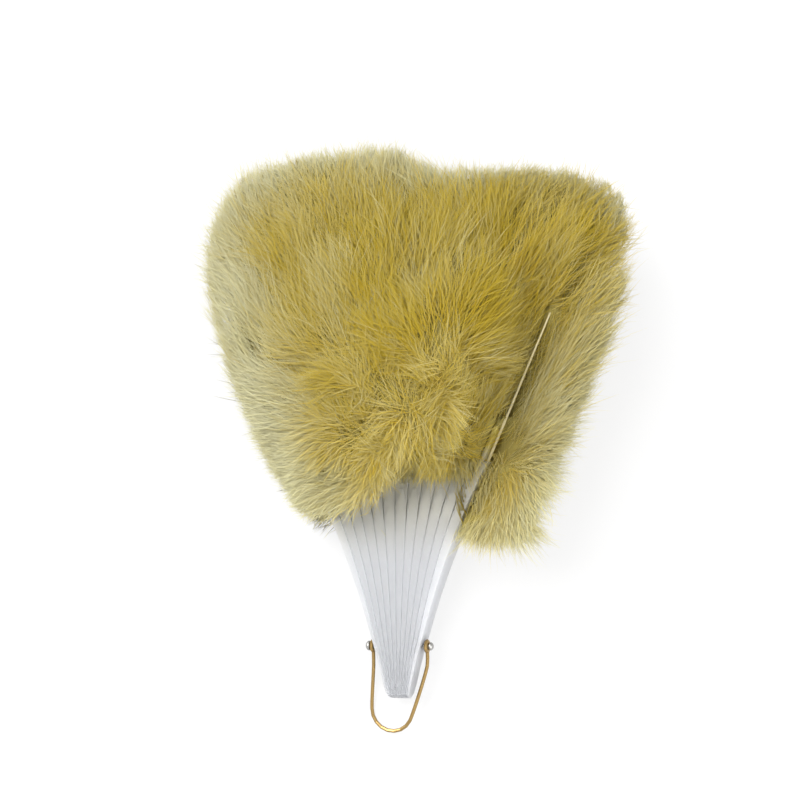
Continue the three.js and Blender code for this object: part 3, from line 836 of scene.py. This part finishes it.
anchor = line.mean(axis=1)
facing = SKIN_SHADING * normal[tuft]
facing += np.array((0, 0, SKY_SHADING)) * (normal[tuft, 2:] > FACING_DOWN)
facing += SHADING_SCATTER * draw.normal(0, 1, (count, 3))
facing /= np.linalg.norm(facing, axis=1, keepdims=True)

# Barbs on both sides of every leaf, which the opened fan shows: from the quill outwards and up or down
WALL_STRANDS = 630 // thin
WALL_END = 0.95
WALL_HEIGHTS = (0.05, 0.98)
WALL_CLIMB = (0.3, 1.1)
WALL_LENGTHS = (12 * MM, 24 * MM)
WALL_SHORTER = 0.6
SHORTER_START = 0.7
WALL_CURL = 0.3
WALL_RISE = 0.12
WALL_SHADES = (0.1, 0.7)
WALL_RADII = (0.20 * MM, 0.34 * MM)
WALL_TILT = 0.5
ANCHOR_REACH = 150 * MM
flat = np.zeros(WALL_STRANDS)
for number, pith in zip(leaves, piths):
    middle = from_pin(stave_place(number + 0.5 + flat, ANCHOR_REACH), flat + ANCHOR_REACH, flat)
    for column, back, way in ((0, -1, -1), (PITH_COLUMNS - 1, PITH_COLUMNS, 1)):
        if (number < 0 and way < 0) or (number == STAVES - 1 and way > 0):
            continue
        row = draw.uniform(0, WALL_END * PITH_ROWS, WALL_STRANDS)
        low = row.astype(int)
        part = (row - low)[:, None]
        over = pith[low, column] * (1 - part) + pith[low + 1, column] * part
        below = pith[low, back] * (1 - part) + pith[low + 1, back] * part
        root = below + (over - below) * draw.uniform(*WALL_HEIGHTS, WALL_STRANDS)[:, None]
        upwards = np.sign((root - pin) @ across_staves)[:, None] * across_staves
        ahead = from_axis(root) + upwards * draw.uniform(*WALL_CLIMB, WALL_STRANDS)[:, None]
        ahead /= np.linalg.norm(ahead, axis=1, keepdims=True)
        side = np.tile(way * along_pin, (WALL_STRANDS, 1))
        shorter = 1 - WALL_SHORTER * smooth(row / PITH_ROWS, SHORTER_START, WALL_END)
        length = draw.uniform(*WALL_LENGTHS, WALL_STRANDS) * shorter
        curl = draw.normal(0, WALL_CURL, WALL_STRANDS)
        made = grow(root, side, ahead, length, flat, curl, flat + WALL_RISE, flat)
        line = np.concatenate([line, made])
        shade = np.concatenate([shade, draw.uniform(*WALL_SHADES, WALL_STRANDS)])
        radius = np.concatenate([radius, draw.uniform(*WALL_RADII, WALL_STRANDS)])
        anchor = np.concatenate([anchor, middle])
        facing = np.concatenate([facing, (side + WALL_TILT * across_staves) / np.hypot(1, WALL_TILT)])

# All barbs stay over the table, and the highest are pressed down a little
LOWEST = 0.5 * MM
PRESSED_FROM = 90 * MM
PRESSED_SHARE = 0.5
line[..., 2] = np.maximum(line[..., 2], LOWEST)
line[..., 2] -= PRESSED_SHARE * np.maximum(line[..., 2] - PRESSED_FROM, 0)

NO_BARB_WAY = (0.31, -0.22, 0.92)
SWELL_SHARES = (0, 0.3, 1)
BARB_SWELL = (0.7, 1, 0.25)
BARB_CORNERS = 3 * (STRAND_POINTS - 1) + 1
SHADE_STEP = 0.004
SHADE_SPAN = 0.99


def strands(line, radius, shade):
    """Barbs as closed strands with three sides: a triangle that narrows along each line to a point.
    Points, triangles, and a map with the shade across and the share of the length up."""
    count, points = line.shape[:2]
    ahead = np.gradient(line, axis=1)[:, :-1]
    ahead /= np.linalg.norm(ahead, axis=2, keepdims=True) + 1e-12
    side = np.cross(ahead, NO_BARB_WAY)
    side /= np.linalg.norm(side, axis=2, keepdims=True) + 1e-12
    up = np.cross(ahead, side)
    rings = points - 1
    swell = np.interp(np.linspace(0, 1, points)[:-1], SWELL_SHARES, BARB_SWELL)
    turn = np.radians((0, 120, 240))
    spoke = np.cos(turn)[:, None] * side[:, :, None] + np.sin(turn)[:, None] * up[:, :, None]
    ring = line[:, :-1, None] + (radius[:, None] * swell)[:, :, None, None] * spoke
    corners = np.concatenate([ring.reshape(count, rings * 3, 3), line[:, -1:]], axis=1)
    faces = [(0, 2, 1)]
    for corner in range(3):
        after = (corner + 1) % 3
        for step in range(0, 3 * (rings - 1), 3):
            faces += [(step + corner, step + after, step + 3 + after)]
            faces += [(step + corner, step + 3 + after, step + 3 + corner)]
        faces += [(3 * (rings - 1) + corner, 3 * (rings - 1) + after, 3 * rings)]
    faces = (np.array(faces)[None] + BARB_CORNERS * np.arange(count)[:, None, None]).reshape(-1, 3)
    across = np.append(np.tile((0, SHADE_STEP, 2 * SHADE_STEP), rings), SHADE_STEP)
    across = across + SHADE_SPAN * shade[:, None]
    upward = np.append(np.repeat(np.linspace(0, 1, points)[:-1], 3), 1) + 0 * across
    return corners.reshape(-1, 3), faces, np.stack([across, upward], axis=-1).reshape(-1, 2)


def downy(name):
    """Dyed down: each barb has its own shade, darker and more golden at its root, which is in part
    painted shade for the deep of the down, and paler at its tip, and some of the light goes through it.
    The shade in its map also carries the painted light of its tuft."""
    material, tone = new_finish(name)
    strand = tone.node("ShaderNodeUVMap", {"uv_map": "OFBake"})
    shade = tone.node("ShaderNodeSeparateXYZ", inputs={0: strand})
    along = tone.node("ShaderNodeSeparateXYZ", inputs={0: strand}, out=1)
    # painted shade in part: darker, more golden roots for the depth of the down
    root = mix_colours(tone, shade, (0.72, 0.50, 0.03, 1), (0.90, 0.82, 0.38, 1))
    tip = mix_colours(tone, shade, (0.74, 0.58, 0.08, 1), (0.97, 0.95, 0.69, 1))
    colour = mix_colours(tone, along, root, tip)
    soft = tone.node("ShaderNodeBsdfPrincipled", inputs={
        "Base Color": colour, "Roughness": 0.8, "Specular IOR Level": 0.15})
    gold = tone.node("ShaderNodeBsdfTranslucent", inputs={"Color": (0.84, 0.68, 0.14, 1)})
    pale = tone.node("ShaderNodeBsdfTranslucent", inputs={"Color": (0.97, 0.94, 0.66, 1)})
    through = tone.node("ShaderNodeMixShader", inputs={0: shade, 1: gold, 2: pale})
    mixed = tone.node("ShaderNodeMixShader", inputs={0: 0.5, 1: soft, 2: through})
    tone.node("ShaderNodeOutputMaterial", inputs={"Surface": mixed})
    return material


def haze(name):
    """The thick of the down, too fine to tell its barbs apart: dark gold with faint streaks, which is
    painted shade for the shadow deep between the barbs.
    """
    material, tone = new_finish(name)
    place = tone.node("ShaderNodeTexCoord", out=3)
    drawn = tone.node("ShaderNodeMapping", inputs={"Vector": place, "Scale": (500.0, 90.0, 500.0)})
    streak = tone.node("ShaderNodeTexNoise", inputs={"Vector": drawn, "Scale": 1.0, "Detail": 3.0})
    # painted shade: a dark gold for the shadow between the barbs
    colour = mix_colours(tone, streak, (0.34, 0.27, 0.06, 1), (0.46, 0.39, 0.13, 1))
    bump = tone.node("ShaderNodeBump", inputs={"Height": streak, "Strength": 0.5, "Distance": 2 * MM})
    soft = tone.node("ShaderNodeBsdfPrincipled", inputs={
        "Base Color": colour, "Roughness": 0.95, "Normal": bump, "Specular IOR Level": 0.1})
    tone.node("ShaderNodeOutputMaterial", inputs={"Surface": soft})
    return material


down_finish = downy("dyed_down")
haze_painted_shade_finish = haze("down_haze")
DOWN_PARTS = {-1: 2, STAVES - 1: 3}
leaf = np.clip(np.floor(stack_number(anchor)), -1, STAVES - 1)
for number, pith in zip(leaves, piths):
    chosen = leaf == number
    label = labels[number] if number >= 0 else "outer"
    body = bodies[max(number, 0)]
    inner_first = np.argsort(np.linalg.norm(anchor[chosen] - pin, axis=1))
    parts = np.array_split(np.flatnonzero(chosen)[inner_first], DOWN_PARTS.get(number, 1))
    for part, some in enumerate(parts):
        points, faces, uv = strands(line[some], radius[some], shade[some])
        normals = np.repeat(facing[some], BARB_CORNERS, axis=0)
        name = f"down_{label}_{part + 1}" if part else f"down_{label}"
        down = mesh_piece(name, points, faces, down_finish, body, "down", uv, normals)
        if part == 0:
            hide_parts(f"plume_{label}")
    mesh_piece(f"pith_{label}", *closed_skin(pith), haze_painted_shade_finish, body, "down")


# Pin and cap. A dull steel pin with a rounded head goes through every stave and both eyes of the
# bail, and a closed cap is pressed on its far end.
def dull_steel():
    """Worn grey steel with fine turning marks."""
    material, tone = new_finish("dull_steel")
    place = tone.node("ShaderNodeTexCoord", out=3)
    wear = tone.node("ShaderNodeTexNoise", inputs={"Vector": place, "Scale": 900.0, "Detail": 4.0})
    colour = mix_colours(tone, wear, (0.50, 0.50, 0.49, 1), (0.30, 0.29, 0.27, 1))
    steel = tone.node("ShaderNodeBsdfPrincipled", inputs={
        "Base Color": colour, "Metallic": 1.0, "Roughness": 0.28 + wear * 0.25})
    tone.node("ShaderNodeOutputMaterial", inputs={"Surface": steel})
    return material


PIN_EDGE = 0.25 * MM
pin_steel = dull_steel()
for name in ("pivot_pin", "pin_cap"):
    dress_solid(frame["nodes"][name], pin_steel, PIN_EDGE)


# Bail. One length of gold coloured wire, bent by hand to a loop with an eye at each end, which turns
# on the pin outside the guards.
def gold_wire():
    """Drawn wire with a gold wash that has dulled in fine scratches."""
    material, tone = new_finish("gold_wire")
    place = tone.node("ShaderNodeTexCoord", out=3)
    wear = tone.node("ShaderNodeTexNoise", inputs={"Vector": place, "Scale": 600.0, "Detail": 4.0})
    colour = mix_colours(tone, wear, (0.46, 0.32, 0.13, 1), (0.30, 0.19, 0.07, 1))
    gold = tone.node("ShaderNodeBsdfPrincipled", inputs={
        "Base Color": colour, "Metallic": 1.0, "Roughness": 0.2 + wear * 0.2})
    tone.node("ShaderNodeOutputMaterial", inputs={"Surface": gold})
    return material


WIRE_EDGE = 0.1 * MM
dress_solid(frame["nodes"]["wire_bail"], gold_wire(), WIRE_EDGE)


# Table, light and camera. A plain white table under wide soft lamps, seen from above the handle.
def seen_rays(tone):
    """1 for rays from the camera and for glossy and transmitted rays, and 0 for all others."""
    camera, glossy, transmitted = [tone.node("ShaderNodeLightPath", out=out) for out in (0, 3, 6)]
    return tone.math("MINIMUM", camera + glossy + transmitted, 1.0)


def white_table():
    """White top that keeps soft shadows: lit paint, and for the camera mostly plain white."""
    material, tone = new_finish("white_table")
    plain = seen_rays(tone) * 0.72
    paint = tone.node("ShaderNodeBsdfDiffuse", inputs={"Color": (0.82, 0.82, 0.82, 1)})
    white = tone.node("ShaderNodeEmission", inputs={"Color": (1, 1, 1, 1), "Strength": 1.0})
    mixed = tone.node("ShaderNodeMixShader", inputs={0: plain, 1: paint, 2: white})
    tone.node("ShaderNodeOutputMaterial", inputs={"Surface": mixed})
    return material


TABLE_REACH = 4.0
corners = np.array(((-1, -1, 0), (1, -1, 0), (1, 1, 0), (-1, 1, 0))) * TABLE_REACH
table_mesh = bpy.data.meshes.new("table")
table_mesh.from_pydata(corners.tolist(), [], [(0, 1, 2, 3)])
table_mesh.materials.append(white_table())
table = bpy.data.objects.new("table", table_mesh)
bpy.context.collection.objects.link(table)


def lamp(name, place, target, size, power):
    """A square soft lamp that faces a point."""
    light = bpy.data.lights.new(name, "AREA")
    light.size = size
    light.energy = power
    holder = bpy.data.objects.new(name, light)
    bpy.context.collection.objects.link(holder)
    holder.location = place
    holder.rotation_euler = (Vector(target) - Vector(place)).to_track_quat("-Z", "Y").to_euler()


lamp("lamp_above", (-0.75, 0.4, 1.2), (0, 0, 0), 1.1, 22)
lamp("lamp_front", (0.8, -0.7, 0.9), (0, 0, 0.02), 1.0, 11)

world = bpy.data.worlds.new("studio")
bpy.context.scene.world = world
world.use_nodes = True
world.node_tree.nodes.clear()
sky = Tone(world.node_tree)
strength = 0.7 + seen_rays(sky) * 0.3
glow = sky.node("ShaderNodeBackground", inputs={"Color": (1, 1, 1, 1), "Strength": strength})
sky.node("ShaderNodeOutputWorld", inputs={"Surface": glow})

CAMERA_TILT = np.radians(14.6)
CAMERA_DISTANCE = 0.66
CAMERA_AIM = 0.12379
LENS = 58.5
SENSOR_WIDTH = 36
back = Vector((0, -np.sin(CAMERA_TILT), np.cos(CAMERA_TILT)))
top = Vector((0, np.cos(CAMERA_TILT), np.sin(CAMERA_TILT)))
aim = Vector((pin[0], pin[1] + CAMERA_AIM, 0))
camera = bpy.data.objects.new("camera", bpy.data.cameras.new("camera"))
bpy.context.collection.objects.link(camera)
camera.data.lens = LENS
camera.data.sensor_width = SENSOR_WIDTH
turned = Matrix((Vector((1, 0, 0)), top, back)).transposed().to_4x4()
camera.matrix_world = Matrix.Translation(aim + CAMERA_DISTANCE * back) @ turned
bpy.context.scene.camera = camera
bpy.context.scene.view_settings.view_transform = "Standard"
